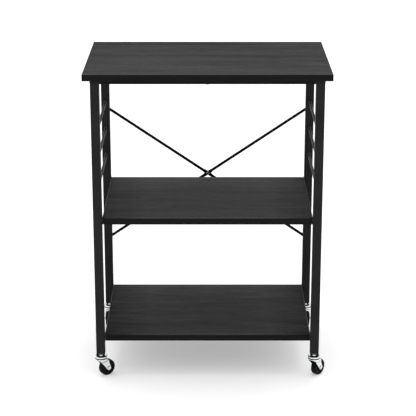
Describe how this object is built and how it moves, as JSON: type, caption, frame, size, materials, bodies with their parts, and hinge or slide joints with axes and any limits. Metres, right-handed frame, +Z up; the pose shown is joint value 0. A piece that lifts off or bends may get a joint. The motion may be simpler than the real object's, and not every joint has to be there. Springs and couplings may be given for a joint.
{
  "type": "kitchen cart",
  "caption": "Open kitchen cart with a wood-grain top board, two shelves, a slim square-tube frame with side rungs and a crossed rod brace, rolling on swivel casters.",
  "frame": {"origin": "on the floor under the middle of the cart", "axes": "+X to the right seen from the front, +Y to the back where the crossed brace is, +Z up"},
  "size_m": [0.6, 0.4, 0.79],
  "materials": {
    "black_wood_board": "black wood-grain melamine, satin",
    "black_powder_coat": "black powder coat on steel, fine satin texture",
    "black_fastener": "black coated steel screw",
    "zinc_fastener": "bright zinc plate",
    "plug_plastic": "black moulded plastic",
    "caster_chrome": "bright chrome plate",
    "bearing_steel": "polished bearing balls",
    "wheel_core_plastic": "black moulded plastic",
    "caster_tyre": "black rubber, satin"
  },
  "bodies": {
    "cart": {"top_board": "black_wood_board", "middle_shelf": "black_wood_board", "bottom_shelf": "black_wood_board", "front_left_leg": "black_powder_coat", "front_right_leg": "black_powder_coat", "rear_left_leg": "black_powder_coat", "rear_right_leg": "black_powder_coat", "front_rail": "black_powder_coat", "rear_rail": "black_powder_coat", "left_side_bar": "black_powder_coat", "right_side_bar": "black_powder_coat", "front_brace_rod": "black_powder_coat", "rear_brace_rod": "black_powder_coat", "left_upper_rung": "black_powder_coat", "left_middle_rung": "black_powder_coat", "left_lower_rung": "black_powder_coat", "left_middle_shelf_angle": "black_powder_coat", "left_bottom_shelf_angle": "black_powder_coat", "right_upper_rung": "black_powder_coat", "right_middle_rung": "black_powder_coat", "right_lower_rung": "black_powder_coat", "right_middle_shelf_angle": "black_powder_coat", "right_bottom_shelf_angle": "black_powder_coat", "rail_bolts": "black_fastener", "brace_end_screws": "black_fastener", "top_board_screws": "zinc_fastener", "shelf_screws": "zinc_fastener", "brace_center_bolt": "zinc_fastener", "brace_center_nut": "zinc_fastener", "leg_plugs": "plug_plastic", "caster_seals": "plug_plastic", "front_left_caster_stem": "caster_chrome", "front_left_caster_cup": "caster_chrome", "front_right_caster_stem": "caster_chrome", "front_right_caster_cup": "caster_chrome", "rear_left_caster_stem": "caster_chrome", "rear_left_caster_cup": "caster_chrome", "rear_right_caster_stem": "caster_chrome", "rear_right_caster_cup": "caster_chrome"},
    "front_left_caster": {"front_left_caster_fork": "caster_chrome", "front_left_caster_axle": "caster_chrome", "front_left_caster_balls": "bearing_steel"},
    "front_left_wheel": {"front_left_wheel_core": "wheel_core_plastic", "front_left_tyre": "caster_tyre"},
    "front_right_caster": {"front_right_caster_fork": "caster_chrome", "front_right_caster_axle": "caster_chrome", "front_right_caster_balls": "bearing_steel"},
    "front_right_wheel": {"front_right_wheel_core": "wheel_core_plastic", "front_right_tyre": "caster_tyre"},
    "rear_left_caster": {"rear_left_caster_fork": "caster_chrome", "rear_left_caster_axle": "caster_chrome", "rear_left_caster_balls": "bearing_steel"},
    "rear_left_wheel": {"rear_left_wheel_core": "wheel_core_plastic", "rear_left_tyre": "caster_tyre"},
    "rear_right_caster": {"rear_right_caster_fork": "caster_chrome", "rear_right_caster_axle": "caster_chrome", "rear_right_caster_balls": "bearing_steel"},
    "rear_right_wheel": {"rear_right_wheel_core": "wheel_core_plastic", "rear_right_tyre": "caster_tyre"}
  },
  "joints": [
    {"name": "front_left_swivel", "type": "hinge", "parent": "cart", "child": "front_left_caster", "pos_m": [-0.271, -0.177, 0.0504], "axis": [0, 0, 1], "continuous": true},
    {"name": "front_left_roll", "type": "hinge", "parent": "front_left_caster", "child": "front_left_wheel", "pos_m": [-0.2576, -0.16653, 0.021], "axis": [-0.6157, 0.788, 0], "continuous": true},
    {"name": "front_right_swivel", "type": "hinge", "parent": "cart", "child": "front_right_caster", "pos_m": [0.271, -0.177, 0.0504], "axis": [0, 0, 1], "continuous": true},
    {"name": "front_right_roll", "type": "hinge", "parent": "front_right_caster", "child": "front_right_wheel", "pos_m": [0.28193, -0.16398, 0.021], "axis": [-0.766, 0.6428, 0], "continuous": true},
    {"name": "rear_left_swivel", "type": "hinge", "parent": "cart", "child": "rear_left_caster", "pos_m": [-0.271, 0.177, 0.0504], "axis": [0, 0, 1], "continuous": true},
    {"name": "rear_left_roll", "type": "hinge", "parent": "rear_left_caster", "child": "rear_left_wheel", "pos_m": [-0.27248, 0.16006, 0.021], "axis": [0.9962, -0.0872, 0], "continuous": true},
    {"name": "rear_right_swivel", "type": "hinge", "parent": "cart", "child": "rear_right_caster", "pos_m": [0.271, 0.177, 0.0504], "axis": [0, 0, 1], "continuous": true},
    {"name": "rear_right_roll", "type": "hinge", "parent": "rear_right_caster", "child": "rear_right_wheel", "pos_m": [0.27248, 0.16006, 0.021], "axis": [0.9962, 0.0872, 0], "continuous": true}
  ]
}
